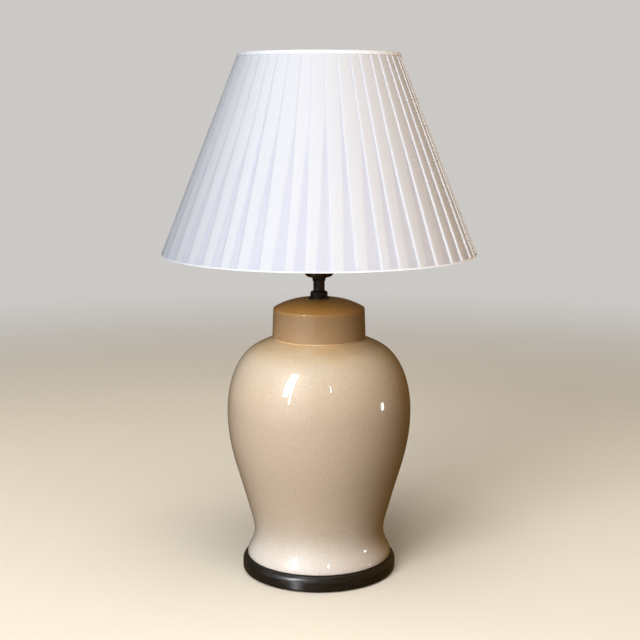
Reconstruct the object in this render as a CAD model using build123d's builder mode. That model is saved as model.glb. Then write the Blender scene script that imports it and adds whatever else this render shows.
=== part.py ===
from build123d import *
from math import cos, radians, sin, sqrt
import os

# Ginger jar lamp, in millimetres, +Z up. The origin is the centre of the felt's
# underside, and the front of the lamp faces -Y.

# Plinth and its felt
felt_thickness = 1.2
felt_inset = 6.0
plinth_radius = 101.8
plinth_height = 19.3
plinth_top_round = 8.0
plinth_foot_round = 3.0
recess_radius = 16.0
recess_depth = 10.0

# Cord outlet at the back of the plinth
outlet_rise = 8.0
outlet_bore_radius = 3.3
bushing_wall = 1.2
bushing_length = 12.0
bushing_flange_radius = 6.0
bushing_flange_thickness = 1.6
bushing_flange_sink = 3.2
spot_face_margin = 1.0

# Threaded pipe that clamps the whole stack, and its nut
pipe_radius = 4.85
pipe_wall = 1.65
pipe_hole_clearance = 0.25
thread_clearance = 0.1
pipe_below_nut = 1.5
pipe_into_socket = 7.0
washer_radius = 13.0
washer_thickness = 1.5
nut_across_flats = 16.0
nut_thickness = 4.0

# Jar: heights are measured up from its foot
gasket_thickness = 0.8
gasket_inset = 7.0
gasket_width = 14.0
jar_foot_radius = 95.5
jar_foot_round = 1.5
jar_flare_radius = 90.8
jar_flare_height = 13.7
jar_waist_radius = 86.1
jar_waist_height = 31.7
jar_calf_radius = 91.2
jar_calf_height = 60.0
jar_hip_radius = 101.1
jar_hip_height = 95.0
jar_body_radius = 112.7
jar_body_height = 135.0
jar_belly_radius = 120.4
jar_belly_height = 195.0
jar_shoulder_radius = 113.2
jar_shoulder_height = 240.7
jar_crown_radius = 100.1
jar_crown_height = 266.7
jar_seat_radius = 61.4
jar_seat_height = 292.8
jar_seat_slope = 43.3
jar_neck_radius = 53.0
jar_neck_height = 18.0
jar_wall = 6.0
jar_wall_steps = 24

# Lid
lid_foot_radius = 60.9
lid_rim_radius = 59.6
lid_rim_height = 37.6
lid_crown_height = 50.4
lid_wall = 5.0
lid_neck_clearance = 2.3
lid_rim_round = 2.2
lid_foot_round = 0.9
lid_dome_bulge = 3.2

# Check ring and neck on top of the lid
check_ring_radius = 14.0
check_ring_thickness = 1.6
check_ring_chamfer = 0.4
neck_height = 24.4
neck_foot_radius = 11.3
neck_foot_height = 5.6
neck_bell_height = 4.2
neck_tube_radius = 7.4
neck_bead_radius = 8.5
neck_bead_height = 3.0

# Harp saddle, a bent strap with a narrower tab at each end
saddle_thickness = 1.6
saddle_half_span = 27.0
saddle_width = 11.0
saddle_pad_radius = 9.0
saddle_bend_radius = 3.5
saddle_shoulder_rise = 8.0
tab_width = 6.3
tab_length = 13.5

# Harp and its sleeves
harp_wire_radius = 1.6
harp_tab_gap = 0.2
harp_leg_gap = 0.3
harp_height = 254.0
harp_half_width = 56.0
harp_leg_straight = 48.0
harp_flare_rise = 38.0
harp_flare_bend = 30.0
harp_belly_bend = 40.0
harp_arch_rise = 61.0
harp_arch_bend = 90.0
harp_top_half_width = 22.0
harp_top_bend = 24.0
sleeve_length = 14.0
sleeve_wall = 0.8
sleeve_clearance = 0.2
sleeve_rest_gap = 0.3
stud_block_radius = 5.5
stud_block_height = 8.6
stud_radius = 3.0
stud_length = 10.0
stud_wire_gap = 0.05

# Socket, from its cap up
cap_hub_radius = 7.6
cap_hub_height = 9.0
cap_wall = 0.7
cap_floor_radius = 10.0
cap_bowl_height = 8.5
cap_height = 20.0
shell_radius = 18.5
shell_wall = 0.6
shell_overlap = 9.0
shell_height = 49.0
shell_lip = 2.6
socket_fit = 0.1
insulator_wall = 0.6
insulator_gap = 0.2
insulator_top_gap = 0.6
socket_body_height = 27.0
socket_body_gap = 0.3
terminal_flat = 3.4
terminal_head_radius = 3.0
terminal_head_height = 1.8
terminal_shank_radius = 1.4
terminal_shank_length = 4.0
terminal_rise = 14.0
screw_shell_wall = 0.5
screw_shell_height = 21.0
centre_contact_radius = 4.2
centre_contact_height = 1.2

# Switch key on the right of the socket
key_rise = 9.5
key_shaft_radius = 1.7
key_clearance = 0.3
key_shaft_depth = 7.0
key_knob_gap = 3.4
key_knob_radius = 4.8
key_knob_length = 12.0
key_flute_count = 12
key_flute_radius = 0.7

# Bulb
bulb_cap_radius = 13.1
bulb_cap_clearance = 0.3
bulb_contact_gap = 0.3
bulb_contact_radius = 4.6
bulb_contact_height = 1.5
bulb_insulator_height = 3.0
bulb_cap_height = 20.0
bulb_cap_wall = 0.4
bulb_neck_radius = 13.0
bulb_neck_height = 7.0
bulb_radius = 30.0
bulb_shoulder_height = 47.0
bulb_glass_wall = 0.8
bulb_stem_radius = 3.4
bulb_stem_height = 36.0
bulb_flare_gap = 0.3
bulb_flare_height = 7.0
bulb_lead_radius = 0.5
bulb_lead_height = 16.0
bulb_lead_spread = 11.0
bulb_filament_radius = 0.6

# Shade: the outer size is over its trims, and its top edge stands above the spider's hub
shade_top_rise = 29.3
shade_height = 252.7
shade_bottom_radius = 203.2
shade_top_radius = 102.4
trim_thickness = 0.4
trim_bottom_leg = 2.0
trim_top_leg = 4.5
cover_gap = 0.1
pleat_count = 45
pleat_depth = 3.6
pleat_riser_share = 0.1
pleat_first_angle = -94.4
cloth_thickness = 0.6
lining_thickness = 0.5
frame_gap = 0.2
ring_wire_radius = 1.6
rib_wire_radius = 1.0
rib_count = 6
weld_gap = 0.1

# Spider that carries the shade on the harp's stud
spider_arm_count = 3
spider_arm_radius = 1.5
spider_arm_bend = 12.0
spider_first_angle = 90.0
spider_arm_slope_run = 16.0
spider_hub_radius = 12.0
spider_hub_thickness = 2.0
spider_hub_clearance = 0.4
spider_seat_gap = 0.2

# Finial
finial_gap = 0.3
finial_tip_height = 3.0
finial_foot_radius = 6.4
finial_foot_height = 2.2
finial_waist_radius = 4.9
finial_waist_height = 4.4
finial_ball_radius = 6.6
finial_tip_radius = 2.2
finial_clearance = 0.15
finial_hole_spare = 1.2

# Levels, worked out from the foot upwards
plinth_bottom = felt_thickness
plinth_top = plinth_bottom + plinth_height
recess_top = plinth_bottom + recess_depth
jar_foot = plinth_top + gasket_thickness
jar_seat = jar_foot + jar_seat_height
jar_neck_top = jar_seat + jar_neck_height
lid_rim = jar_seat + lid_rim_height
lid_top = jar_seat + lid_crown_height
neck_bottom = lid_top + check_ring_thickness
neck_top = neck_bottom + neck_height
cap_bottom = neck_top + saddle_thickness
cap_top = cap_bottom + cap_height
nut_top = recess_top - washer_thickness
pipe_bottom = nut_top - nut_thickness - pipe_below_nut
pipe_top = cap_bottom + pipe_into_socket
pipe_hole_radius = pipe_radius + pipe_hole_clearance
threaded_hole_radius = pipe_radius + thread_clearance


def tube(bottom, height, outer_radius, inner_radius):
    """One plain tube standing on a level."""
    with BuildPart() as piece:
        with BuildSketch(Plane.XY.offset(bottom)):
            Circle(outer_radius)
            Circle(inner_radius, mode=Mode.SUBTRACT)
        extrude(amount=height)
    return piece


def radial_plane(angle):
    """Upright plane through the lamp's axis: x runs outwards at the angle, y runs up."""
    outwards = Vector(cos(radians(angle)), sin(radians(angle)), 0)
    return Plane(origin=(0, 0, 0), x_dir=outwards, z_dir=outwards.cross(Vector(0, 0, 1)))


# Felt pad and turned plinth
with BuildPart() as base_felt:
    with BuildSketch(Plane.XY):
        Circle(plinth_radius - felt_inset)
    extrude(amount=felt_thickness)

bushing_radius = outlet_bore_radius + bushing_wall
outlet_seat = plinth_radius - bushing_flange_sink
outlet_plane = Plane(
    origin=(0, outlet_seat, plinth_bottom + outlet_rise), x_dir=(1, 0, 0), z_dir=(0, 1, 0)
)
outlet_reach = outlet_seat - recess_radius + bushing_wall

with BuildPart() as base_plinth:
    with BuildSketch(Plane.XY.offset(plinth_bottom)):
        Circle(plinth_radius)
    extrude(amount=plinth_height)
    fillet(base_plinth.edges().filter_by(GeomType.CIRCLE).sort_by(Axis.Z)[-1], plinth_top_round)
    fillet(base_plinth.edges().filter_by(GeomType.CIRCLE).sort_by(Axis.Z)[0], plinth_foot_round)
    with BuildSketch(Plane.XY.offset(plinth_bottom)):
        Circle(recess_radius)
    extrude(amount=recess_depth, mode=Mode.SUBTRACT)
    with BuildSketch(Plane.XY.offset(plinth_bottom)):
        Circle(pipe_hole_radius)
    extrude(amount=plinth_height, mode=Mode.SUBTRACT)
    with BuildSketch(outlet_plane):
        Circle(bushing_radius + thread_clearance)
    extrude(amount=-outlet_reach, mode=Mode.SUBTRACT)
    with BuildSketch(outlet_plane):
        Circle(bushing_flange_radius + spot_face_margin)
    extrude(amount=bushing_flange_sink, mode=Mode.SUBTRACT)

with BuildPart() as cord_bushing:
    with BuildSketch(outlet_plane):
        Circle(bushing_flange_radius)
    extrude(amount=bushing_flange_thickness)
    with BuildSketch(outlet_plane):
        Circle(bushing_radius)
    extrude(amount=bushing_flange_thickness - bushing_length)
    with BuildSketch(outlet_plane.offset(bushing_flange_thickness)):
        Circle(outlet_bore_radius)
    extrude(amount=-bushing_length, mode=Mode.SUBTRACT)

# Washer, nut and pipe that hold the stack together
base_washer = tube(nut_top, washer_thickness, washer_radius, pipe_hole_radius)

with BuildPart() as base_lock_nut:
    with BuildSketch(Plane.XY.offset(nut_top - nut_thickness)):
        RegularPolygon(nut_across_flats / 2, side_count=6, major_radius=False)
        Circle(threaded_hole_radius, mode=Mode.SUBTRACT)
    extrude(amount=nut_thickness)

lamp_pipe = tube(pipe_bottom, pipe_top - pipe_bottom, pipe_radius, pipe_radius - pipe_wall)

# Cork ring between the plinth and the jar
gasket_radius = jar_foot_radius - gasket_inset
jar_gasket = tube(plinth_top, gasket_thickness, gasket_radius, gasket_radius - gasket_width)


# Jar: a small lip, one smooth curve up to the lid's seat, then the neck
jar_lip_start = (jar_foot_radius - jar_foot_round, jar_foot)
jar_lip_end = (jar_foot_radius, jar_foot + jar_foot_round)
jar_floor = jar_foot + jar_wall
jar_neck_bore = jar_neck_radius - jar_wall
with BuildPart() as jar:
    with BuildSketch(Plane.XZ):
        with BuildLine():
            RadiusArc(jar_lip_start, jar_lip_end, -jar_foot_round)
            jar_outline = Spline(
                jar_lip_end,
                (jar_flare_radius, jar_foot + jar_flare_height),
                (jar_waist_radius, jar_foot + jar_waist_height),
                (jar_calf_radius, jar_foot + jar_calf_height),
                (jar_hip_radius, jar_foot + jar_hip_height),
                (jar_body_radius, jar_foot + jar_body_height),
                (jar_belly_radius, jar_foot + jar_belly_height),
                (jar_shoulder_radius, jar_foot + jar_shoulder_height),
                (jar_crown_radius, jar_foot + jar_crown_height),
                (jar_seat_radius, jar_seat),
                tangents=[(0, 1), (-cos(radians(jar_seat_slope)), sin(radians(jar_seat_slope)))],
            )
            Polyline(
                (jar_seat_radius, jar_seat),
                (jar_neck_radius, jar_seat),
                (jar_neck_radius, jar_neck_top),
                (0, jar_neck_top),
                (0, jar_foot),
                jar_lip_start,
            )
        make_face()
    revolve(axis=Axis.Z)
    # The hollow follows the outline, square to it by an even wall, above a flat floor
    wall_points = []
    for step in range(jar_wall_steps + 1):
        along = jar_outline % (step / jar_wall_steps)
        inwards = Vector(-along.Y, along.X, 0)
        wall_points.append(jar_outline @ (step / jar_wall_steps) + inwards * jar_wall)
    with BuildSketch(Plane.XZ):
        with BuildLine():
            Spline(*wall_points)
            Polyline(
                wall_points[-1],
                (jar_neck_bore, wall_points[-1].Y),
                (jar_neck_bore, jar_neck_top),
                (0, jar_neck_top),
                (0, wall_points[0].Y),
                wall_points[0],
            )
        make_face()
        with Locations((0, jar_floor)):
            Rectangle(2 * jar_foot_radius, jar_wall, align=(Align.CENTER, Align.MAX), mode=Mode.SUBTRACT)
    revolve(axis=Axis.Z, mode=Mode.SUBTRACT)
    with BuildSketch(Plane.XY.offset(jar_foot)):
        Circle(pipe_hole_radius)
    extrude(amount=jar_wall, mode=Mode.SUBTRACT)

# Lid: a cap that drops over the jar's neck and stands on the shoulder
lid_inner_radius = jar_neck_radius + lid_neck_clearance
with BuildPart() as lid:
    with BuildSketch(Plane.XZ):
        with BuildLine():
            Polyline(
                (check_ring_radius, lid_top),
                (0, lid_top),
                (0, jar_seat),
                (lid_foot_radius, jar_seat),
                (lid_rim_radius, lid_rim),
            )
            SagittaArc((lid_rim_radius, lid_rim), (check_ring_radius, lid_top), -lid_dome_bulge)
        make_face()
    revolve(axis=Axis.Z)
    fillet(lid.edges().filter_by(GeomType.CIRCLE).group_by(Axis.Z)[1], lid_rim_round)
    fillet(lid.edges().filter_by(GeomType.CIRCLE).group_by(Axis.Z)[0], lid_foot_round)
    with BuildSketch(Plane.XZ):
        with BuildLine():
            Polyline(
                (0, jar_seat),
                (lid_inner_radius, jar_seat),
                (lid_inner_radius, lid_rim - lid_wall),
                (check_ring_radius, lid_top - lid_wall),
                (0, lid_top - lid_wall),
                close=True,
            )
        make_face()
    revolve(axis=Axis.Z, mode=Mode.SUBTRACT)
    with BuildSketch(Plane.XY.offset(lid_top)):
        Circle(pipe_hole_radius)
    extrude(amount=-lid_wall, mode=Mode.SUBTRACT)

# Check ring and turned neck
check_ring = tube(lid_top, check_ring_thickness, check_ring_radius, pipe_hole_radius)
with check_ring:
    ring_edges = check_ring.edges().filter_by(GeomType.CIRCLE).group_by(Axis.Z)[-1]
    chamfer(ring_edges.sort_by(SortBy.RADIUS)[-1], check_ring_chamfer)

with BuildPart() as neck:
    bell_start = (neck_foot_radius, neck_bottom + neck_foot_height)
    bell_end = (neck_tube_radius, neck_bottom + neck_foot_height + neck_bell_height)
    with BuildSketch(Plane.XZ):
        with BuildLine():
            Spline(bell_start, bell_end, tangents=[(0, 1), (0, 1)])
            Polyline(
                bell_end,
                (neck_tube_radius, neck_top - neck_bead_height),
                (neck_bead_radius, neck_top - neck_bead_height),
                (neck_bead_radius, neck_top),
                (pipe_hole_radius, neck_top),
                (pipe_hole_radius, neck_bottom),
                (neck_foot_radius, neck_bottom),
                bell_start,
            )
        make_face()
    revolve(axis=Axis.Z)

# Saddle: a bent strap across the lamp, front to back, with a tab for each sleeve
saddle_bottom = neck_top
saddle_shoulder = saddle_bottom + saddle_shoulder_rise
tab_top = saddle_shoulder + tab_length
strap_outside = saddle_half_span + saddle_thickness / 2
tab_inside = strap_outside - saddle_thickness

with BuildPart() as harp_saddle:
    with BuildSketch(Plane.YZ):
        with BuildLine():
            FilletPolyline(
                (strap_outside, tab_top),
                (strap_outside, saddle_bottom),
                (-strap_outside, saddle_bottom),
                (-strap_outside, tab_top),
                radius=saddle_bend_radius + saddle_thickness,
            )
            Line((-strap_outside, tab_top), (-tab_inside, tab_top))
            FilletPolyline(
                (-tab_inside, tab_top),
                (-tab_inside, cap_bottom),
                (tab_inside, cap_bottom),
                (tab_inside, tab_top),
                radius=saddle_bend_radius,
            )
            Line((tab_inside, tab_top), (strap_outside, tab_top))
        make_face()
    extrude(amount=saddle_width / 2, both=True)
    with BuildSketch(Plane.XZ):
        with Locations((0, (saddle_shoulder + tab_top) / 2)):
            Rectangle(2 * saddle_width, tab_length)
            Rectangle(tab_width, tab_length, mode=Mode.SUBTRACT)
    extrude(amount=2 * saddle_half_span, both=True, mode=Mode.SUBTRACT)
    with BuildSketch(Plane.XY.offset(saddle_bottom)):
        Circle(saddle_pad_radius)
    extrude(amount=saddle_thickness)
    with BuildSketch(Plane.XY.offset(saddle_bottom)):
        Circle(pipe_hole_radius)
    extrude(amount=saddle_thickness, mode=Mode.SUBTRACT)

# Harp: one wire from leg to leg, straight beside the tabs and through the stud block
leg_centre = strap_outside + harp_tab_gap + harp_wire_radius
leg_bottom = saddle_shoulder + harp_leg_gap
flare_bottom = saddle_bottom + harp_leg_straight
flare_top = flare_bottom + harp_flare_rise
wire_top_centre = saddle_bottom + harp_height - harp_wire_radius
half_route = [
    (leg_centre, leg_bottom),
    (leg_centre, flare_bottom),
    (harp_half_width, flare_top),
    (harp_half_width, wire_top_centre - harp_arch_rise),
    (harp_top_half_width, wire_top_centre),
]
harp_route = half_route + [(-y, z) for y, z in reversed(half_route)]
half_bends = [harp_flare_bend, harp_belly_bend, harp_arch_bend, harp_top_bend]

with BuildPart() as harp_wire:
    with BuildLine(Plane.YZ) as harp_path:
        FilletPolyline(*harp_route, radius=half_bends + half_bends[::-1])
    with BuildSketch(Plane.XY.offset(leg_bottom)):
        with Locations((0, leg_centre)):
            Circle(harp_wire_radius)
    sweep(path=harp_path.line)

# Stud block clamped on the wire's top, with the stud that carries the shade
block_top = wire_top_centre + stud_block_height / 2
with BuildPart() as harp_stud:
    with BuildSketch(Plane.XY.offset(block_top - stud_block_height)):
        Circle(stud_block_radius)
    extrude(amount=stud_block_height)
    with BuildSketch(Plane.XY.offset(block_top)):
        Circle(stud_radius)
    extrude(amount=stud_length)
    with BuildSketch(Plane.XZ):
        with Locations((0, wire_top_centre)):
            Circle(harp_wire_radius + stud_wire_gap)
    extrude(amount=2 * stud_block_radius, both=True, mode=Mode.SUBTRACT)

# The shade hangs from a hub on the stud, so its levels follow the harp
hub_bottom = block_top + spider_seat_gap
shade_top_height = hub_bottom + shade_top_rise
shade_bottom_height = shade_top_height - shade_height
cover_bottom = shade_bottom_height + trim_thickness + cover_gap
cover_top = shade_top_height - trim_thickness - cover_gap

# Sleeves: the bore is the circle that just holds a tab's inner corners and the leg beside it
leg_outside = leg_centre + harp_wire_radius
tab_and_leg = leg_outside - tab_inside
sleeve_centre = (leg_outside + tab_inside) / 2 - (tab_width / 2) ** 2 / (2 * tab_and_leg)
sleeve_bore = leg_outside - sleeve_centre + sleeve_clearance
sleeve_bottom = saddle_shoulder + sleeve_rest_gap


def harp_sleeve(side):
    """One sleeve, at the front (side -1) or at the back (side 1)."""
    with BuildPart() as piece:
        with BuildSketch(Plane.XY.offset(sleeve_bottom)):
            with Locations((0, side * sleeve_centre)):
                Circle(sleeve_bore + sleeve_wall)
                Circle(sleeve_bore, mode=Mode.SUBTRACT)
        extrude(amount=sleeve_length)
    return piece


harp_sleeve_front = harp_sleeve(-1)
harp_sleeve_back = harp_sleeve(1)

# Socket cap: a spun bowl on a threaded hub
shell_bottom = cap_top - shell_overlap
shell_top = shell_bottom + shell_height
cap_radius = shell_radius + socket_fit + cap_wall
bowl_start = (cap_floor_radius, cap_bottom)
bowl_end = (cap_radius, cap_bottom + cap_bowl_height)
with BuildPart() as socket_cap:
    with BuildSketch(Plane.XZ):
        with BuildLine():
            Spline(bowl_start, bowl_end, tangents=[(1, 0), (0, 1)])
            Polyline(bowl_end, (cap_radius, cap_top), (0, cap_top), (0, cap_bottom), bowl_start)
        make_face()
    revolve(axis=Axis.Z)
    offset(amount=-cap_wall, openings=socket_cap.faces().sort_by(Axis.Z)[-1])
    with BuildSketch(Plane.XY.offset(cap_bottom)):
        Circle(cap_hub_radius)
    extrude(amount=cap_hub_height)
    with BuildSketch(Plane.XY.offset(cap_bottom)):
        Circle(threaded_hole_radius)
    extrude(amount=cap_hub_height, mode=Mode.SUBTRACT)

# The switch key's axis runs out of the socket to the right
socket_body_bottom = cap_bottom + cap_hub_height + socket_body_gap
socket_body_top = socket_body_bottom + socket_body_height
key_plane = Plane(origin=(0, 0, cap_top + key_rise), x_dir=(0, 1, 0), z_dir=(1, 0, 0))
key_hole_radius = key_shaft_radius + key_clearance

# Shell with a rolled lip, open at the side for the key
with BuildPart() as socket_shell:
    with BuildSketch(Plane.XY.offset(shell_bottom)):
        Circle(shell_radius)
        Circle(shell_radius - shell_wall, mode=Mode.SUBTRACT)
    extrude(amount=shell_height)
    with BuildSketch(Plane.XY.offset(shell_top - shell_wall)):
        Circle(shell_radius)
        Circle(shell_radius - shell_lip, mode=Mode.SUBTRACT)
    extrude(amount=shell_wall)
    with BuildSketch(key_plane):
        Circle(key_hole_radius)
    extrude(amount=2 * shell_radius, mode=Mode.SUBTRACT)

# Insulating sleeve inside the shell
insulator_radius = shell_radius - shell_wall - insulator_gap
with BuildPart() as socket_insulator:
    with BuildSketch(Plane.XY.offset(shell_bottom)):
        Circle(insulator_radius)
        Circle(insulator_radius - insulator_wall, mode=Mode.SUBTRACT)
    extrude(amount=shell_height - shell_wall - insulator_top_gap)
    with BuildSketch(key_plane):
        Circle(key_hole_radius)
    extrude(amount=2 * shell_radius, mode=Mode.SUBTRACT)

# Moulded switch body, flat at the front and the back for its terminal screws
socket_body_radius = insulator_radius - insulator_wall - insulator_gap
terminal_seat = socket_body_radius - terminal_flat
terminal_height = socket_body_bottom + terminal_rise
key_socket_bottom = socket_body_radius - key_shaft_depth
with BuildPart() as socket_body:
    with BuildSketch(Plane.XY.offset(socket_body_bottom)):
        Circle(socket_body_radius)
        Rectangle(2 * socket_body_radius, 2 * terminal_seat, mode=Mode.INTERSECT)
    extrude(amount=socket_body_height)
    with BuildSketch(key_plane.offset(key_socket_bottom)):
        Circle(key_hole_radius)
    extrude(amount=key_shaft_depth, mode=Mode.SUBTRACT)
    for side in (-1, 1):
        with BuildSketch(Plane.XZ.offset(side * terminal_seat)):
            with Locations((0, terminal_height)):
                Circle(terminal_shank_radius)
        extrude(amount=-side * terminal_shank_length, mode=Mode.SUBTRACT)

with BuildPart() as terminal_screws:
    for side in (-1, 1):
        with BuildSketch(Plane.XZ.offset(side * terminal_seat)):
            with Locations((0, terminal_height)):
                Circle(terminal_head_radius)
        extrude(amount=side * terminal_head_height)
        with BuildSketch(Plane.XZ.offset(side * terminal_seat)):
            with Locations((0, terminal_height)):
                Circle(terminal_shank_radius)
        extrude(amount=-side * terminal_shank_length)

# Contacts that take the bulb
screw_shell_bore = bulb_cap_radius + bulb_cap_clearance
screw_shell = tube(
    socket_body_top, screw_shell_height, screw_shell_bore + screw_shell_wall, screw_shell_bore
)

with BuildPart() as centre_contact:
    with BuildSketch(Plane.XY.offset(socket_body_top)):
        Circle(centre_contact_radius)
    extrude(amount=centre_contact_height)

# Switch key: a round shaft and a fluted knob on one axis
shaft_start = key_socket_bottom + key_clearance
knob_start = cap_radius + key_knob_gap
with BuildPart() as key_shaft:
    with BuildSketch(key_plane.offset(shaft_start)):
        Circle(key_shaft_radius)
    extrude(amount=knob_start - shaft_start)

with BuildPart() as switch_key:
    with BuildSketch(key_plane.offset(knob_start)):
        Circle(key_knob_radius)
        with PolarLocations(key_knob_radius, key_flute_count):
            Circle(key_flute_radius, mode=Mode.SUBTRACT)
    extrude(amount=key_knob_length)

# Bulb, from its tip contact up
bulb_bottom = socket_body_top + centre_contact_height + bulb_contact_gap
bulb_insulator_bottom = bulb_bottom + bulb_contact_height
bulb_cap_bottom = bulb_insulator_bottom + bulb_insulator_height
bulb_cap_top = bulb_cap_bottom + bulb_cap_height
bulb_centre = bulb_cap_top + bulb_shoulder_height
bulb_cap_bore = bulb_cap_radius - bulb_cap_wall

with BuildPart() as bulb_contact:
    with BuildSketch(Plane.XY.offset(bulb_bottom)):
        Circle(bulb_contact_radius)
    extrude(amount=bulb_contact_height)

with BuildPart() as bulb_insulator:
    with BuildSketch(Plane.XY.offset(bulb_insulator_bottom)):
        Circle(bulb_contact_radius)
    with BuildSketch(Plane.XY.offset(bulb_cap_bottom)):
        Circle(bulb_cap_bore)
    loft()

bulb_screw_cap = tube(bulb_cap_bottom, bulb_cap_height, bulb_cap_radius, bulb_cap_bore)


def bulb_envelope(wall):
    """Half outline of the bulb's envelope, drawn in by a wall."""
    neck_radius = bulb_neck_radius - wall
    ball_radius = bulb_radius - wall
    neck_end = (neck_radius, bulb_cap_top + bulb_neck_height)
    widest = (ball_radius, bulb_centre)
    crown = (0, bulb_centre + ball_radius)
    Polyline(crown, (0, bulb_cap_top), (neck_radius, bulb_cap_top), neck_end)
    Spline(neck_end, widest, tangents=[(0, 1), (0, 1)])
    CenterArc((0, bulb_centre), ball_radius, 0, 90)


with BuildPart() as bulb_glass:
    with BuildSketch(Plane.XZ):
        with BuildLine():
            bulb_envelope(0)
        make_face()
    revolve(axis=Axis.Z)
    with BuildSketch(Plane.XZ):
        with BuildLine():
            bulb_envelope(bulb_glass_wall)
        make_face()
    revolve(axis=Axis.Z, mode=Mode.SUBTRACT)

# Glass stem, with two lead wires and the filament between their tips
stem_flare_top = bulb_cap_top + bulb_flare_height
stem_top = bulb_cap_top + bulb_stem_height
with BuildPart() as bulb_stem:
    with BuildSketch(Plane.XY.offset(bulb_cap_top)):
        Circle(bulb_neck_radius - bulb_glass_wall - bulb_flare_gap)
    with BuildSketch(Plane.XY.offset(stem_flare_top)):
        Circle(bulb_stem_radius)
    loft()
    with BuildSketch(Plane.XY.offset(stem_flare_top)):
        Circle(bulb_stem_radius)
    extrude(amount=stem_top - stem_flare_top)

with BuildPart() as bulb_filament:
    for side in (-1, 1):
        with BuildLine(Plane.XZ) as lead_path:
            Line(
                (side * bulb_stem_radius / 2, stem_top - bulb_lead_radius),
                (side * bulb_lead_spread, stem_top + bulb_lead_height),
            )
        with BuildSketch(Plane(origin=lead_path.line @ 0, z_dir=lead_path.line % 0)):
            Circle(bulb_lead_radius)
        sweep(path=lead_path.line)
    with BuildSketch(Plane.YZ.offset(-bulb_lead_spread)):
        with Locations((0, stem_top + bulb_lead_height)):
            Circle(bulb_filament_radius)
    extrude(amount=2 * bulb_lead_spread)
    with BuildSketch(Plane.XY.offset(stem_top)):
        Circle(bulb_radius)
    extrude(amount=-bulb_stem_height, mode=Mode.SUBTRACT)


pleat_pitch = 360 / pleat_count
first_step_angle = pleat_first_angle - pleat_riser_share * pleat_pitch


def shade_radius(height):
    """Outer radius of the shade's straight cone at a height, over its trims."""
    share = (height - shade_bottom_height) / shade_height
    return shade_bottom_radius + share * (shade_top_radius - shade_bottom_radius)


def crest_radius(height):
    """Outer folds of the pleats, just inside the trims."""
    return shade_radius(height) - trim_thickness - cover_gap


def valley_radius(height):
    """Foot of the steps between the pleats, shallower where the cone is narrower."""
    return crest_radius(height) * (1 - pleat_depth / shade_bottom_radius)


def cover_inside(height):
    """Corners of the cover's inner face, one behind each step between the pleats."""
    return valley_radius(height) - cloth_thickness


def lining_outside(height):
    """Outer face of the lining, clear of the flats between those corners."""
    return cover_inside(height) * cos(radians(pleat_pitch / 2)) - cover_gap


def lining_inside(height):
    """Inner face of the lining, which the wires lie against."""
    return lining_outside(height) - lining_thickness


def pleat_outline(height):
    """Knife pleats in plan: each panel falls from its fold to the step before the next fold."""
    points = []
    for pleat in range(pleat_count):
        step = Vector(valley_radius(height), 0, 0)
        fold = Vector(crest_radius(height), 0, 0)
        points.append(step.rotate(Axis.Z, first_step_angle + pleat * pleat_pitch))
        points.append(fold.rotate(Axis.Z, pleat_first_angle + pleat * pleat_pitch))
    return points


# Pleated cover: ruled panels from the bottom edge to the top, hollowed by a many-sided cone
with BuildPart() as shade_pleats:
    for level in (cover_bottom, cover_top):
        with BuildSketch(Plane.XY.offset(level)):
            Polygon(*[(point.X, point.Y) for point in pleat_outline(level)], align=None)
    loft(ruled=True)
    for level in (cover_bottom, cover_top):
        with BuildSketch(Plane.XY.offset(level)):
            RegularPolygon(cover_inside(level), side_count=pleat_count, rotation=first_step_angle)
    loft(ruled=True, mode=Mode.SUBTRACT)

with BuildPart() as shade_lining:
    with BuildSketch(Plane.XZ):
        with BuildLine():
            Polyline(
                (lining_inside(cover_bottom), cover_bottom),
                (lining_outside(cover_bottom), cover_bottom),
                (lining_outside(cover_top), cover_top),
                (lining_inside(cover_top), cover_top),
                close=True,
            )
        make_face()
    revolve(axis=Axis.Z)


def edge_trim(edge, web, leg):
    """Trim folded over an edge: a web across the wall's thickness and a leg down its outside."""
    with BuildPart() as piece:
        with BuildSketch(Plane.XZ):
            with BuildLine():
                Polyline(
                    (lining_inside(web), edge),
                    (shade_radius(edge), edge),
                    (shade_radius(leg), leg),
                    (shade_radius(leg) - trim_thickness, leg),
                    (shade_radius(web) - trim_thickness, web),
                    (lining_inside(web), web),
                    close=True,
                )
            make_face()
        revolve(axis=Axis.Z)
    return piece


shade_bottom_trim = edge_trim(
    shade_bottom_height,
    shade_bottom_height + trim_thickness,
    shade_bottom_height + trim_bottom_leg,
)
shade_top_trim = edge_trim(
    shade_top_height, shade_top_height - trim_thickness, shade_top_height - trim_top_leg
)

# Frame: two rings and the ribs between them, all against the lining
wall_lean = (shade_bottom_radius - shade_top_radius) / shade_height
wall_up = Vector(-wall_lean, 1, 0).normalized()
wall_out = Vector(1, wall_lean, 0).normalized()
ring_inset = (ring_wire_radius + frame_gap) / wall_out.X


def ring_centre(height):
    """Centre of a ring's wire, as a radius and a height."""
    return Vector(lining_inside(height) - ring_inset, height, 0)


def frame_ring(centre):
    """One wire ring of the frame."""
    with BuildPart() as piece:
        with BuildSketch(Plane.XZ):
            with Locations((centre.X, centre.Y)):
                Circle(ring_wire_radius)
        revolve(axis=Axis.Z)
    return piece


bottom_ring_centre = ring_centre(cover_bottom + ring_wire_radius)
top_ring_centre = ring_centre(cover_top - ring_wire_radius)
shade_bottom_ring = frame_ring(bottom_ring_centre)
shade_top_ring = frame_ring(top_ring_centre)

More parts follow.
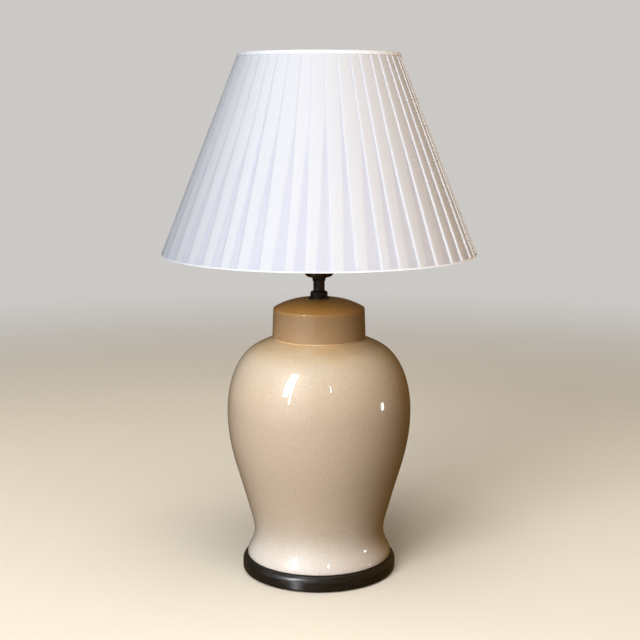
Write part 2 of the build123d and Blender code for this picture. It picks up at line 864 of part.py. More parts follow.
# Each rib is welded between the rings, as near the lining as they are
weld_reach = ring_wire_radius + weld_gap
rib_offset = wall_out * (ring_wire_radius - rib_wire_radius)
rib_bottom = bottom_ring_centre + rib_offset + wall_up * weld_reach
rib_top = top_ring_centre + rib_offset - wall_up * weld_reach
with BuildPart() as shade_ribs:
    for rib in range(rib_count):
        rib_plane = radial_plane(rib * 360 / rib_count)
        with BuildLine(rib_plane) as rib_path:
            Line((rib_bottom.X, rib_bottom.Y), (rib_top.X, rib_top.Y))
        with BuildSketch(Plane(origin=rib_path.line @ 0, z_dir=rib_path.line % 0)):
            Circle(rib_wire_radius)
        sweep(path=rib_path.line)

# Spider: a washer on the harp's stud, with arms that rise to the top ring
hub_top = hub_bottom + spider_hub_thickness
arm_height = hub_bottom + spider_hub_thickness / 2
arm_bend = Vector(top_ring_centre.X - spider_arm_slope_run, arm_height, 0)
arm_end = top_ring_centre - (top_ring_centre - arm_bend).normalized() * weld_reach
with BuildPart() as shade_spider:
    for arm in range(spider_arm_count):
        arm_plane = radial_plane(spider_first_angle + arm * 360 / spider_arm_count)
        with BuildLine(arm_plane) as arm_path:
            FilletPolyline(
                (spider_hub_radius - 2 * spider_arm_radius, arm_height),
                (arm_bend.X, arm_bend.Y),
                (arm_end.X, arm_end.Y),
                radius=spider_arm_bend,
            )
        with BuildSketch(Plane(origin=arm_path.line @ 0, z_dir=arm_path.line % 0)):
            Circle(spider_arm_radius)
        sweep(path=arm_path.line)
    with BuildSketch(Plane.XY.offset(hub_bottom)):
        Circle(spider_hub_radius)
    extrude(amount=spider_hub_thickness)
    with BuildSketch(Plane.XY.offset(hub_bottom)):
        Circle(stud_radius + spider_hub_clearance)
    extrude(amount=spider_hub_thickness, mode=Mode.SUBTRACT)

# Finial: a turned ball on a waisted foot, bored for the stud
finial_bottom = hub_top + finial_gap
finial_waist = finial_bottom + finial_waist_height
ball_centre = finial_waist + sqrt(finial_ball_radius**2 - finial_waist_radius**2)
tip_start = ball_centre + sqrt(finial_ball_radius**2 - finial_tip_radius**2)
finial_bore = stud_radius + finial_clearance
bore_top = block_top + stud_length + finial_hole_spare
with BuildPart() as finial:
    with BuildSketch(Plane.XZ):
        with BuildLine():
            ThreePointArc(
                (finial_waist_radius, finial_waist),
                (finial_ball_radius, ball_centre),
                (finial_tip_radius, tip_start),
            )
            Polyline(
                (finial_tip_radius, tip_start),
                (finial_tip_radius, tip_start + finial_tip_height),
                (0, tip_start + finial_tip_height),
                (0, bore_top),
                (finial_bore, bore_top),
                (finial_bore, finial_bottom),
                (finial_foot_radius, finial_bottom),
                (finial_foot_radius, finial_bottom + finial_foot_height),
                (finial_waist_radius, finial_waist),
            )
        make_face()
    revolve(axis=Axis.Z)

pieces = {
    "base_felt": base_felt,
    "base_plinth": base_plinth,
    "cord_bushing": cord_bushing,
    "base_washer": base_washer,
    "base_lock_nut": base_lock_nut,
    "lamp_pipe": lamp_pipe,
    "jar_gasket": jar_gasket,
    "jar": jar,
    "lid": lid,
    "check_ring": check_ring,
    "neck": neck,
    "harp_saddle": harp_saddle,
    "harp_wire": harp_wire,
    "harp_stud": harp_stud,
    "harp_sleeve_front": harp_sleeve_front,
    "harp_sleeve_back": harp_sleeve_back,
    "socket_cap": socket_cap,
    "socket_shell": socket_shell,
    "socket_insulator": socket_insulator,
    "socket_body": socket_body,
    "terminal_screws": terminal_screws,
    "screw_shell": screw_shell,
    "centre_contact": centre_contact,
    "key_shaft": key_shaft,
    "switch_key": switch_key,
    "bulb_contact": bulb_contact,
    "bulb_insulator": bulb_insulator,
    "bulb_screw_cap": bulb_screw_cap,
    "bulb_glass": bulb_glass,
    "bulb_stem": bulb_stem,
    "bulb_filament": bulb_filament,
    "shade_pleats": shade_pleats,
    "shade_lining": shade_lining,
    "shade_bottom_trim": shade_bottom_trim,
    "shade_top_trim": shade_top_trim,
    "shade_bottom_ring": shade_bottom_ring,
    "shade_top_ring": shade_top_ring,
    "shade_ribs": shade_ribs,
    "shade_spider": shade_spider,
    "finial": finial,
}

os.makedirs("parts", exist_ok=True)
for name, piece in pieces.items():
    piece.part.label = name
    export_step(piece.part, f"parts/{name}.step")
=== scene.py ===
import math

import bpy
import numpy as np
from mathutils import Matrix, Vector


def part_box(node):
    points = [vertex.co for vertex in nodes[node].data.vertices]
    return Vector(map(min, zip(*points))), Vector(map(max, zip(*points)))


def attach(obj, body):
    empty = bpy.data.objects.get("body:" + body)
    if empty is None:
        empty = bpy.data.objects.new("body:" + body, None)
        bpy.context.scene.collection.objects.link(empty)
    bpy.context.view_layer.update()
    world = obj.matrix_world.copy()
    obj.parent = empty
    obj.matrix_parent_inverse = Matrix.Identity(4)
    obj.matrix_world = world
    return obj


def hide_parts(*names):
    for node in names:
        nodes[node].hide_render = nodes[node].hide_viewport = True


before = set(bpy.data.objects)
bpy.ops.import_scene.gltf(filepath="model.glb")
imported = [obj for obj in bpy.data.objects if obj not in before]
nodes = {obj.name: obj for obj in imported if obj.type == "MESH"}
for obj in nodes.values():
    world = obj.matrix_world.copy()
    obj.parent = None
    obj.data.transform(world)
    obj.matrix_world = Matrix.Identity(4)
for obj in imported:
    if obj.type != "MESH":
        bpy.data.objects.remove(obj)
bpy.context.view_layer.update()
print("ginger jar lamp: frame loaded,", len(nodes), "nodes")

# The camera stands a little below the top of the shade and looks slightly down
cameraView = {
    "place": (0.0013, -1.627, 0.6158),
    "pitch": 9.776,      # degrees below level
    "lens": 71.19,       # millimetres, as is the sensor
    "sensor": 36.0,
}


def placeCamera():
    data = bpy.data.cameras.new("frontCamera")
    data.lens = cameraView["lens"]
    data.sensor_width = cameraView["sensor"]
    camera = bpy.data.objects.new("frontCamera", data)
    camera.location = cameraView["place"]
    camera.rotation_euler = (math.radians(90 - cameraView["pitch"]), 0, 0)
    bpy.context.scene.collection.objects.link(camera)
    bpy.context.scene.camera = camera


placeCamera()


class Number:
    # Wraps a node's output, so that sums on it add Math nodes
    def __init__(self, finish, socket):
        self.finish = finish
        self.socket = socket

    def calc(self, operation, first, second):
        return self.finish.node("ShaderNodeMath", {"operation": operation}, {0: first, 1: second})

    def __add__(self, other):
        return self.calc("ADD", self, other)

    def __radd__(self, other):
        return self.calc("ADD", other, self)

    def __sub__(self, other):
        return self.calc("SUBTRACT", self, other)

    def __rsub__(self, other):
        return self.calc("SUBTRACT", other, self)

    def __mul__(self, other):
        return self.calc("MULTIPLY", self, other)

    def __rmul__(self, other):
        return self.calc("MULTIPLY", other, self)

    def __truediv__(self, other):
        return self.calc("DIVIDE", self, other)

    def __rtruediv__(self, other):
        return self.calc("DIVIDE", other, self)


class NodeSet:
    # What a material and the sky share: nodes made by one method, with numbers or links for their sockets
    def __init__(self, tree):
        self.tree = tree

    def feed(self, node, values):
        for key, value in values.items():
            socket = node.inputs[key]
            if isinstance(value, Number):
                self.tree.links.new(value.socket, socket)
            elif isinstance(value, tuple) and socket.type == "RGBA":
                socket.default_value = (*value, 1.0)
            else:
                socket.default_value = value

    def node(self, kind, settings=None, values=None, output=0):
        made = self.tree.nodes.new(kind)
        for key, value in (settings or {}).items():
            if key == "stops":
                ramp = made.color_ramp
                while len(ramp.elements) < len(value):
                    ramp.elements.new(0.5)
                for stop, (position, colour) in zip(ramp.elements, value):
                    stop.position = position
                    stop.color = (*colour, 1.0)
            else:
                setattr(made, key, value)
        self.feed(made, values or {})
        return Number(self, made.outputs[output]) if made.outputs else None

    def axis(self, name):
        return self.node("ShaderNodeSeparateXYZ", values={0: self.point}, output="XYZ".index(name))

    def noise(self, size, detail, rough, point=None, stretch=None):
        # size is the width of one patch, in metres; stretch makes the patches longer along an axis
        source = point or self.point
        if stretch:
            source = self.node("ShaderNodeVectorMath", {"operation": "DIVIDE"}, {0: source, 1: stretch})
        values = {"Vector": source, "Scale": 1.0 / size, "Detail": detail, "Roughness": rough}
        return self.node("ShaderNodeTexNoise", values=values)

    def spots(self, size):
        # 0 at the middle of each cell
        return self.node("ShaderNodeTexVoronoi", values={"Vector": self.point, "Scale": 1.0 / size})

    def span(self, value, low, high, start=0.0, end=1.0):
        settings = {"interpolation_type": "SMOOTHSTEP"}
        limits = {0: value, 1: low, 2: high, 3: start, 4: end}
        return self.node("ShaderNodeMapRange", settings, limits)

    def mix(self, factor, first, second, blend="MIX"):
        settings = {"data_type": "RGBA", "blend_type": blend}
        return self.node("ShaderNodeMix", settings, {0: factor, 6: first, 7: second}, output=2)

    def ramp(self, value, stops):
        return self.node("ShaderNodeValToRGB", {"stops": stops}, {0: value})

    def bump(self, height, distance, strength):
        values = {"Height": height, "Distance": distance, "Strength": strength}
        return self.node("ShaderNodeBump", values=values)


class Finish(NodeSet):
    # One procedural material round a Principled shader; its fixed values are set on the shader itself
    def __init__(self, name, **fixed):
        self.material = bpy.data.materials.new(name)
        self.material.use_nodes = True
        super().__init__(self.material.node_tree)
        self.shader = self.tree.nodes["Principled BSDF"]
        self.point = self.node("ShaderNodeTexCoord", output=3)
        self.paint(**fixed)

    def paint(self, **sockets):
        self.feed(self.shader, {key.replace("_", " "): value for key, value in sockets.items()})
        return self.material

    def clothMap(self):
        return self.node("ShaderNodeUVMap", {"uv_map": "clothUv"})

    def letThrough(self, share, colour):
        # Part of the light that falls on the far side comes through, as it does in thin cloth
        glow = self.node("ShaderNodeBsdfTranslucent", values={"Color": colour})
        surface = Number(self, self.shader.outputs[0])
        mixed = self.node("ShaderNodeMixShader", values={0: share, 1: surface, 2: glow})
        self.tree.links.new(mixed.socket, self.tree.nodes["Material Output"].inputs[0])


def gridPiece(name, points, material, uv=None, wrap=False, closed=False, reach=None, sharp=35):
    # points is rows x columns x 3: each quad joins a point with its neighbours in its row and the next row.
    # wrap joins the last column to the first, and closed joins the last row to the first.
    rows, columns = points.shape[:2]
    index = np.arange(rows * columns).reshape(rows, columns)
    if wrap:
        index = np.concatenate([index, index[:, :1]], axis=1)
    if closed:
        index = np.concatenate([index, index[:1]], axis=0)
    quads = np.stack([index[:-1, :-1], index[:-1, 1:], index[1:, 1:], index[1:, :-1]], axis=-1)
    quads = quads.reshape(-1, 4)
    mesh = bpy.data.meshes.new(name)
    mesh.vertices.add(rows * columns)
    mesh.vertices.foreach_set("co", points.astype(np.float32).ravel())
    mesh.loops.add(quads.size)
    mesh.loops.foreach_set("vertex_index", quads.astype(np.int32).ravel())
    mesh.polygons.add(len(quads))
    mesh.polygons.foreach_set("loop_start", np.arange(len(quads), dtype=np.int32) * 4)
    mesh.update(calc_edges=True)
    if uv is not None:
        corners = np.stack([uv[:-1, :-1], uv[:-1, 1:], uv[1:, 1:], uv[1:, :-1]], axis=2)
        layer = mesh.uv_layers.new(name="clothUv")
        layer.data.foreach_set("uv", corners.astype(np.float32).ravel())
    if reach is not None:
        attribute = mesh.attributes.new("foldReach", "FLOAT", "POINT")
        attribute.data.foreach_set("value", reach.astype(np.float32).ravel())
    mesh.validate()
    mesh.shade_smooth()
    mesh.set_sharp_from_angle(angle=math.radians(sharp))
    mesh.materials.append(material)
    piece = bpy.data.objects.new(name, mesh)
    bpy.context.scene.collection.objects.link(piece)
    return piece


def ringPoints(radius, angle, height):
    # x = radius cos(angle), y = radius sin(angle), z = height
    x, y, z = np.broadcast_arrays(radius * np.cos(angle), radius * np.sin(angle), height)
    return np.stack([x, y, z], axis=-1)


def turned(radius, height, steps):
    # A profile (radius, height) carried round the lamp's axis, one row for each of its points
    angle = np.linspace(0, 2 * np.pi, steps, endpoint=False)
    return ringPoints(np.asarray(radius)[:, None], angle[None, :], np.asarray(height)[:, None])


def dress(material, *names):
    for name in names:
        mesh = nodes[name].data
        mesh.materials.clear()
        mesh.materials.append(material)


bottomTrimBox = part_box("shade_bottom_trim")
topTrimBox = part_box("shade_top_trim")
shade = {
    "bottom": bottomTrimBox[0][2],
    "top": topTrimBox[1][2],
    "bottomRadius": bottomTrimBox[1][0],
    "upperRadius": topTrimBox[1][0],   # at the foot of the top trim
    "upperLevel": topTrimBox[0][2],
    "trimGap": 0.0005,                 # from the trims' outside in to the folds
    "edgeGap": 0.0006,                 # from the shade's ends to the edges of the cover and the lining
}
shadeLean = (shade["bottomRadius"] - shade["upperRadius"]) / (shade["upperLevel"] - shade["bottom"])
slantPerRise = math.hypot(1, shadeLean)


def shadeRadius(height):
    return shade["bottomRadius"] - shadeLean * (height - shade["bottom"])


# Lengths in metres. Depths and noses are those at the bottom edge, and shrink with the radius above it.
pleats = {
    "count": 45,
    "firstFold": -94.4,          # degrees, where -90 faces the camera
    "depth": 0.0028,
    "noseWidth": 0.0018,         # rounded front of each fold
    "noseHeight": 0.0013,
    "panelCurve": 1.15,          # 1 is a flat panel, and more lets it fall late
    "stripWidth": 0.056,         # cloth that each pleat takes up
    "floorDrop": 0.00035,        # how far the hidden layer lies below a panel's end
    "sinkRate": 3,               # the hidden layer is down after one part in this many
    "layer": 0.00022,            # from a panel to the cloth that comes back under it
    "backRise": 0.0003,          # the most that this cloth lies above a panel's end
    "floorGap": 0.00012,
    "noseTuck": 0.2,             # share of a nose that the hidden fold stops short
    "wander": 0.0004,            # how far a fold strays sideways on its way up
    "jitter": 0.010,             # radians that a fold may stand off its place
    "jitterLimit": 0.02,
    "noseUneven": 0.18,
    "noseRange": (0.6, 1.5),
    "liftUneven": 0.07,
    "leastLift": 0.8,
    "underUneven": 0.0012,
    "underRange": (0.3, 0.97),   # hidden cloth beside a fold, as shares of the width of a pleat
    "rows": 40,
    "seed": 7,
}


def smoothNoise(random, rows, count, waves):
    # A slow random wave down each fold: a sum of a few sines with random phases and strengths
    along = np.linspace(0, 1, rows)[:, None]
    total = np.zeros((rows, count))
    for wave in range(1, waves + 1):
        phase = random.uniform(0, 2 * np.pi, count)
        strength = random.normal(0, 1.0 / wave, count)
        total += strength * np.sin(np.pi * wave * along + phase)
    return total


def pleatedCover(material):
    # One ribbon of cloth. For each pleat it climbs a rounded nose, falls along a panel to the next
    # nose, runs on below it, turns back, and comes out at the next nose's foot.
    random = np.random.default_rng(pleats["seed"])
    rows = pleats["rows"]
    count = pleats["count"]
    curve = pleats["panelCurve"]
    low = shade["bottom"] + shade["edgeGap"]
    high = shade["top"] - shade["edgeGap"]
    height = np.linspace(low, high, rows)[:, None, None]
    crest = shadeRadius(height) - shade["trimGap"]
    scale = crest / shade["bottomRadius"]
    pitch = 2 * np.pi * crest / count
    uneven = smoothNoise(random, rows, count, 4)[:, :, None]
    drift = smoothNoise(random, rows, count, 3)[:, :, None]
    lift = np.clip(1 - pleats["liftUneven"] * np.abs(uneven), pleats["leastLift"], 1.0)
    depth = pleats["depth"] * scale
    nose = pleats["noseWidth"] * scale * np.clip(1 + pleats["noseUneven"] * uneven, *pleats["noseRange"])
    leastUnder, mostUnder = pleats["underRange"]
    under = (pleats["stripWidth"] - pitch) / 2 + pleats["underUneven"] * uneven
    under = np.clip(under, leastUnder * pitch, mostUnder * pitch)

    # How far each point lies round the cone from its fold, and how far in from the crests
    arc = np.linspace(0, np.pi / 2, 6)
    noseAcross = nose * (1 - np.cos(arc))
    noseDrop = pleats["noseHeight"] * scale * (1 - np.sin(arc)) + 0 * nose
    panelShare = np.linspace(0, 1, 11)[1:]
    panelAcross = nose + (pitch - nose) * panelShare
    panelDrop = depth * panelShare**curve + 0 * nose
    belowShare = np.linspace(0, 1, 5)[1:]
    belowAcross = pitch + (under - nose * pleats["noseTuck"]) * belowShare
    floor = depth + pleats["floorDrop"]
    belowDrop = depth + pleats["floorDrop"] * np.clip(belowShare * pleats["sinkRate"], 0, 1) + 0 * nose
    backShare = np.linspace(1, 0, 6)
    backAcross = pitch + under * backShare
    backPanel = depth * np.clip((under * backShare - nose) / (pitch - nose), 0, 1) ** curve
    backDrop = np.maximum(backPanel + pleats["layer"], depth - pleats["backRise"] * scale)
    backDrop = np.clip(backDrop, 0, floor - pleats["floorGap"])
    across = np.concatenate([noseAcross, panelAcross, belowAcross, backAcross], axis=2)
    drop = np.concatenate([noseDrop * lift, panelDrop, belowDrop, backDrop], axis=2)

    # How far hidden cloth still reaches behind each point. The finish paints single cloth darker, as painted
    # shade from the dim inside seen through it, and cloth with a fold behind it whiter
    reach = np.concatenate(
        [under - noseAcross, under - panelAcross, 0 * belowAcross, 0 * backAcross], axis=2
    )
    fold = np.arange(count)[None, :, None]
    turn = random.normal(0, pleats["jitter"], count).clip(-pleats["jitterLimit"], pleats["jitterLimit"])
    turn = turn[None, :, None]
    turnNext = np.roll(turn, -1, axis=1)
    sway = pleats["wander"] * drift / crest
    swayNext = np.roll(sway, -1, axis=1)
    share = np.clip(across / pitch, 0, 1)
    stray = (turn + sway) * (1 - share) + (turnNext + swayNext) * share
    angle = math.radians(pleats["firstFold"]) + 2 * np.pi * fold / count + across / crest + stray
    points = ringPoints(crest - drop, angle, height).reshape(rows, -1, 3)
    step = np.linalg.norm(np.diff(points, axis=1, append=points[:, :1]), axis=2)
    along = np.concatenate([np.zeros((rows, 1)), np.cumsum(step, axis=1)], axis=1)
    slant = (height[:, 0, :] - shade["bottom"]) * slantPerRise
    uv = np.stack(np.broadcast_arrays(along, slant), axis=-1)
    piece = gridPiece(
        "pleatedCover", points, material, uv=uv, wrap=True, reach=reach.reshape(rows, -1), sharp=75
    )
    longest = float(along[:, -1].max())
    flatArea = float(np.trapz(along[:, -1], slant[:, 0]))
    return piece, (longest, float(slant[-1, 0])), flatArea


clothLook = {
    "shadedSingle": (0.74, 0.745, 0.83),       # one layer of cloth, darkened by painted shade of the dim inside behind it
    "doubled": (0.87, 0.875, 0.885),     # where a fold lies behind, so without that painted shade
    "edgeBlur": 0.0016,                  # how softly a hidden fold's edge shows, in metres
    "edgeWander": 0.003,
    "edgePatch": 0.02,
    "edgeStretch": (1.0, 4.0, 1.0),
    "slub": (0.80, 0.805, 0.85),         # thicker threads along the folds
    "slubShare": 0.35,
    "slubWidth": 0.0016,
    "slubStretch": (1.0, 22.0, 1.0),
    "threadScale": 1100.0,
    "threadBend": 0.6,
    "threadShare": 0.15,
    "bumpDistance": 0.00006,
    "bumpStrength": 0.35,
    "throughShare": 0.3,
    "throughColour": (0.825, 0.83, 0.865),
}


def clothFinish():
    look = clothLook
    cloth = Finish("pleatedCloth", Roughness=0.85, Sheen_Weight=0.25, Sheen_Roughness=0.5)
    reach = cloth.node("ShaderNodeAttribute", {"attribute_name": "foldReach"}, output=2)
    uv = cloth.clothMap()
    wobble = cloth.noise(look["edgePatch"], 2.0, 0.5, point=uv, stretch=look["edgeStretch"])
    hidden = reach + (wobble - 0.5) * look["edgeWander"]
    layered = cloth.span(hidden, -look["edgeBlur"], look["edgeBlur"])
    slub = cloth.noise(look["slubWidth"], 2.0, 0.6, point=uv, stretch=look["slubStretch"])
    # Painted shade: single cloth gets the darker, bluer tone, as if the shaded inside showed through it
    base = cloth.mix(layered, look["shadedSingle"], look["doubled"])
    tone = cloth.mix(cloth.span(slub, 0.25, 0.75) * look["slubShare"], base, look["slub"])
    threads = cloth.node(
        "ShaderNodeTexWave",
        {"bands_direction": "Y"},
        {"Vector": uv, "Scale": look["threadScale"], "Distortion": look["threadBend"]},
    )
    height = threads * look["threadShare"] + slub
    cloth.letThrough(look["throughShare"], look["throughColour"])
    weave = cloth.bump(height, look["bumpDistance"], look["bumpStrength"])
    return cloth.paint(Base_Color=tone, Normal=weave)


def plainConeSheet(name, inset, columns, rows, material, swell):
    # A cone sheet inside the cover; swell draws it in a little between the ribs
    bottom = shade["bottom"] + shade["edgeGap"]
    top = shade["top"] - shade["edgeGap"]
    angle = np.linspace(0, 2 * np.pi, columns, endpoint=False)[None, :]
    share = np.linspace(0, 1, rows)[:, None]
    height = bottom + (top - bottom) * share
    radius = shadeRadius(height) - inset + swell(angle, share)
    points = ringPoints(radius, angle, height)
    around = np.linspace(0, 2 * np.pi, columns + 1)[None, :] * (shadeRadius(height) - inset)
    slant = (height - bottom) * slantPerRise
    uv = np.stack(np.broadcast_arrays(around, slant), axis=-1)
    return gridPiece(name, points, material, uv=uv, wrap=True)


lining = {
    "inset": 0.00545,            # from the cone of the trims' outside
    "ribs": 6,
    "tension": 0.00018,
    "columns": 180,
    "rows": 30,
    "flat": (0.98, 0.43),        # the sector that it is cut from
    "dark": (0.82, 0.81, 0.78),
    "light": (0.88, 0.875, 0.85),
    "throughShare": 0.35,
    "throughColour": (0.85, 0.843, 0.815),
}


def liningSwell(angle, share):
    # The backing lies against each rib and stands off a little between them
    between = 0.5 - 0.5 * np.cos(lining["ribs"] * angle)
    return lining["tension"] * (between * np.sin(np.pi * share) - 0.5)


def liningFinish():
    backing = Finish("liningCloth", Roughness=0.8, Sheen_Weight=0.15)
    uv = backing.clothMap()
    cloud = backing.noise(0.05, 3.0, 0.5, point=uv)
    tone = backing.mix(cloud, lining["dark"], lining["light"])
    weave = backing.noise(0.0007, 1.0, 0.5, point=uv)
    backing.letThrough(lining["throughShare"], lining["throughColour"])
    return backing.paint(Base_Color=tone, Normal=backing.bump(weave, 0.00008, 0.5))


trims = {
    "thickness": 0.0004,
    "meshThickness": 0.9,        # share of it that the mesh shows, so that it clears the folds
    "innerInset": 0.0058,
    "innerLeg": 0.004,
    "bottomLeg": 0.002,          # what shows outside, below and above
    "topLeg": 0.0045,
    "sag": 0.0006,               # how far it sinks between two folds
    "sagCurve": 0.8,
    "sagShare": 0.9,
    "columnsPerPleat": 12,
    "dark": (0.83, 0.84, 0.87),
    "light": (0.89, 0.895, 0.91),
}


def foldedTrim(name, edge, leg, material):
    # A bias strip folded over an edge: up inside, across the wall, and along the outside, where it
    # sinks a little between one fold of the cover and the next
    columns = pleats["count"] * trims["columnsPerPleat"]
    angle = np.linspace(0, 2 * np.pi, columns, endpoint=False)
    phase = (angle - math.radians(pleats["firstFold"])) * pleats["count"] / (2 * np.pi) % 1
    sag = trims["sag"] * np.sin(np.pi * phase) ** trims["sagCurve"]
    towards = np.sign(leg - edge)
    half = trims["thickness"] / 2
    legs = np.linspace(0, 1, 5)
    outer = edge + towards * (half + (abs(leg - edge) - half) * legs[::-1])
    inner = edge + towards * (half + (trims["innerLeg"] - half) * legs)
    sunk = sag[None, :] * legs[::-1, None] * trims["sagShare"]
    outerRadius = shadeRadius(outer)[:, None] - half - sunk
    innerRadius = np.repeat((shadeRadius(inner) - trims["innerInset"])[:, None], columns, axis=1)
    across = np.linspace(0, 1, 6)[1:-1, None]
    webRadius = outerRadius[-1] * (1 - across) + innerRadius[0] * across
    webHeight = edge + towards * half * (1 - 0.9 * np.sin(np.pi * across)) + 0 * angle[None, :]
    radius = np.concatenate([outerRadius, webRadius, innerRadius])
    outerHeight = np.repeat(outer[:, None], columns, axis=1)
    innerHeight = np.repeat(inner[:, None], columns, axis=1)
    height = np.concatenate([outerHeight, webHeight, innerHeight])
    points = ringPoints(radius, angle[None, :], height)
    width = np.concatenate([[0], np.cumsum(np.linalg.norm(np.diff(points[:, 0], axis=0), axis=1))])
    around = np.linspace(0, 2 * np.pi, columns + 1) * shadeRadius(edge)
    uv = np.stack(np.broadcast_arrays(around[None, :], width[:, None]), axis=-1)
    if towards > 0:
        points, uv = points[::-1], uv[::-1]
    piece = gridPiece(name, points, material, uv=uv, wrap=True, sharp=80)
    solid = piece.modifiers.new("thickness", "SOLIDIFY")
    solid.thickness = trims["thickness"] * trims["meshThickness"]
    solid.offset = 0
    return piece


def trimFinish():
    tape = Finish("trimCloth", Roughness=0.8, Sheen_Weight=0.25)
    uv = tape.clothMap()
    cloud = tape.noise(0.006, 3.0, 0.6, point=uv)
    tone = tape.mix(cloud, trims["dark"], trims["light"])
    weave = tape.noise(0.0008, 1.0, 0.5, point=uv)
    return tape.paint(Base_Color=tone, Normal=tape.bump(weave, 0.0001, 0.4))


cover, coverFlat, coverArea = pleatedCover(clothFinish())
liningSheet = plainConeSheet(
    "shadeLining", lining["inset"], lining["columns"], lining["rows"], liningFinish(), liningSwell
)
trimMaterial = trimFinish()
bottomTrim = foldedTrim("shadeBottomTrim", shade["bottom"], shade["bottom"] + trims["bottomLeg"], trimMaterial)
topTrim = foldedTrim("shadeTopTrim", shade["top"], shade["top"] - trims["topLeg"], trimMaterial)
for piece, node, slot in (
    (cover, "shade_pleats", "shade_cloth"),
    (liningSheet, "shade_lining", "lining_cloth"),
    (bottomTrim, "shade_bottom_trim", "shade_cloth"),
    (topTrim, "shade_top_trim", "shade_cloth"),
):
    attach(piece, "shade")
    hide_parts(node)
liningSlant = (shade["top"] - shade["bottom"]) * slantPerRise
liningMean = shadeRadius((shade["top"] + shade["bottom"]) / 2) - lining["inset"]
2 * math.pi * liningMean * liningSlant
print("shade: cover, lining and trims")


# Widths in metres; a span is where a pattern starts and where it is full
glazeLook = {
    "cloudPatch": 0.045,
    "grain": 0.0013,                     # fine mottle
    "grainSpan": (0.42, 0.72),
    "grainShare": 0.34,
    "speck": 0.0036,                     # from one brown speck to the next
    "speckSpan": (0.07, 0.17),
    "speckPatch": 0.012,                 # specks stand closer in patches of this width
    "patchSpan": (0.38, 0.62),
    "speckShare": 0.6,
    "speckColour": (0.24, 0.13, 0.06),
    "wavePatch": 0.03,                   # the glaze's surface is not quite even
    "waveHeight": 0.0006,
    "waveStrength": 0.25,
}

# Stops are shares of the piece's height. In the jar they are partly the glaze's own tone, tan over the body,
# cream at the foot and ochre under the lid, and partly painted light: the lighter cream band from 0.76 to 0.91
# is a painted reflection and stands in for light that the shade's rim keeps off the shoulder
jarGlazeAndLight = {
    "stops": [
        (0.0, (0.90, 0.87, 0.84)),
        (0.064, (0.88, 0.83, 0.78)),
        (0.125, (0.79, 0.72, 0.64)),
        (0.24, (0.68, 0.57, 0.455)),
        (0.64, (0.67, 0.56, 0.445)),
        (0.76, (0.76, 0.64, 0.50)),
        (0.85, (0.81, 0.71, 0.57)),
        (0.91, (0.86, 0.70, 0.49)),
        (0.94, (0.80, 0.58, 0.32)),
    ],
    "mottle": (0.55, 0.42, 0.30),
    "clouding": 0.10,
}
# In the lid, the amber toward the top is painted warm light from the shade's underside on the lid's top; below
# it is the glaze's brown
lidGlazeAndLight = {
    "stops": [
        (0.0, (0.46, 0.31, 0.18)),
        (0.66, (0.44, 0.29, 0.16)),
        (0.80, (0.74, 0.39, 0.10)),
        (1.0, (0.70, 0.36, 0.08)),
    ],
    "mottle": (0.5, 0.36, 0.24),
    "clouding": 0.03,
}


def speckledGlaze(name, box, tones):
    look = glazeLook
    glaze = Finish(name, Roughness=0.45, Coat_Weight=1.0, Coat_Roughness=0.03, IOR=1.5)
    low, high = box[0][2], box[1][2]
    level = (glaze.axis("Z") - low) / (high - low)
    cloud = glaze.noise(look["cloudPatch"], 3.0, 0.55)
    # The ramp carries the glaze's tone together with the painted light set in its stops
    body = glaze.ramp(level + (cloud - 0.5) * tones["clouding"], tones["stops"])
    grain = glaze.noise(look["grain"], 2.0, 0.6)
    mottled = glaze.span(grain, *look["grainSpan"]) * look["grainShare"]
    body = glaze.mix(mottled, body, tones["mottle"], "MULTIPLY")
    specks = glaze.span(glaze.spots(look["speck"]), *look["speckSpan"], 1.0, 0.0)
    patches = glaze.span(glaze.noise(look["speckPatch"], 1.0, 0.5), *look["patchSpan"])
    body = glaze.mix(specks * patches * look["speckShare"], body, look["speckColour"])
    wave = glaze.noise(look["wavePatch"], 2.0, 0.5)
    uneven = glaze.bump(wave, look["waveHeight"], look["waveStrength"])
    return glaze.paint(Base_Color=body, Normal=uneven)


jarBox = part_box("jar")
dress(speckledGlaze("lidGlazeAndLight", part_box("lid"), lidGlazeAndLight), "lid")

jarShape = {
    "lip": 0.0015,
    "outline": [                 # radius and height above the foot, from the lip to the lid
        (0.0955, 0.0015), (0.0908, 0.0137), (0.0861, 0.0317), (0.0912, 0.0600), (0.1011, 0.0950),
        (0.1127, 0.1350), (0.1204, 0.1950), (0.1134, 0.2407), (0.1023, 0.2632), (0.0900, 0.2766),
        (0.0610, 0.2912),
    ],
    "outlinePoints": 130,
    "shoulderSlope": 24,         # degrees, where the shoulder runs in under the lid
    "seat": (0.0596, 0.2928),    # a small step that the lid stands on
    "neck": 0.053,
    "neckRound": 0.0015,
    "wall": 0.006,
    "pipeHole": 0.0051,
    "columns": 200,
}


def smoothCurve(points, startSlope, endSlope, count):
    # A cubic between each two points, with chord length as its parameter. The slopes at the points
    # solve the equations that keep the bending even from one cubic to the next.
    points = np.array(points)
    step = np.linalg.norm(np.diff(points, axis=0), axis=1)
    system = np.zeros((len(points), len(points)))
    system[0, 0] = system[-1, -1] = 1
    inner = np.arange(1, len(points) - 1)
    system[inner, inner - 1] = step[1:]
    system[inner, inner] = 2 * (step[:-1] + step[1:])
    system[inner, inner + 1] = step[:-1]
    rise = np.diff(points, axis=0) / step[:, None]
    middle = 3 * (rise[:-1] * step[1:, None] + rise[1:] * step[:-1, None])
    slope = np.linalg.solve(system, np.concatenate([[startSlope], middle, [endSlope]]))
    start = np.concatenate([[0], np.cumsum(step)])
    at = np.linspace(0, start[-1], count)
    part = np.clip(np.searchsorted(start, at, side="right") - 1, 0, len(step) - 1)
    width = step[part][:, None]
    t = (at - start[part])[:, None] / width
    bend = slope[part] * (t**3 - 2 * t**2 + t) + slope[part + 1] * (t**3 - t**2)
    return points[part] * (2 * t**3 - 3 * t**2 + 1) + points[part + 1] * (3 * t**2 - 2 * t**3) + width * bend


